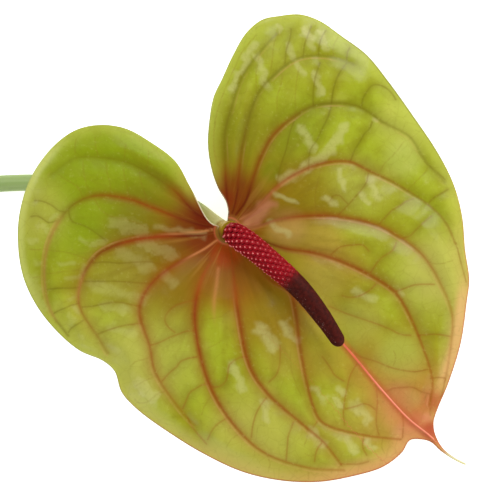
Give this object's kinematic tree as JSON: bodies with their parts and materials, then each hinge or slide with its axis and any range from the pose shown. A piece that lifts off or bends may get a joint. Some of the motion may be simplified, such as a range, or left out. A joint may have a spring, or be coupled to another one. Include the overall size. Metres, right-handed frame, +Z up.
{
  "type": "cut anthurium stem",
  "caption": "Cut anthurium flower lying on a table: a glossy yellow-green heart-shaped spathe blushed red-brown, a crimson and maroon spadix, and a long green stalk cut aslant.",
  "frame": {"origin": "on the table, under the middle of the flower's own box in X and Y", "axes": "+Z up from the table; +X along the stalk from its cut end to the flower"},
  "size_m": [0.4152, 0.1554, 0.0486],
  "materials": {
    "spathe": "waxy glossy living leaf tissue, yellow-green with a red-brown blush and sunken red veins",
    "spadix": "fleshy, crimson with pale pink florets, dark maroon towards the tip",
    "peduncle": "smooth living stalk, grey-green"
  },
  "bodies": {
    "root": {"spathe": "spathe", "spadix": "spadix", "peduncle": "peduncle"}
  },
  "joints": []
}
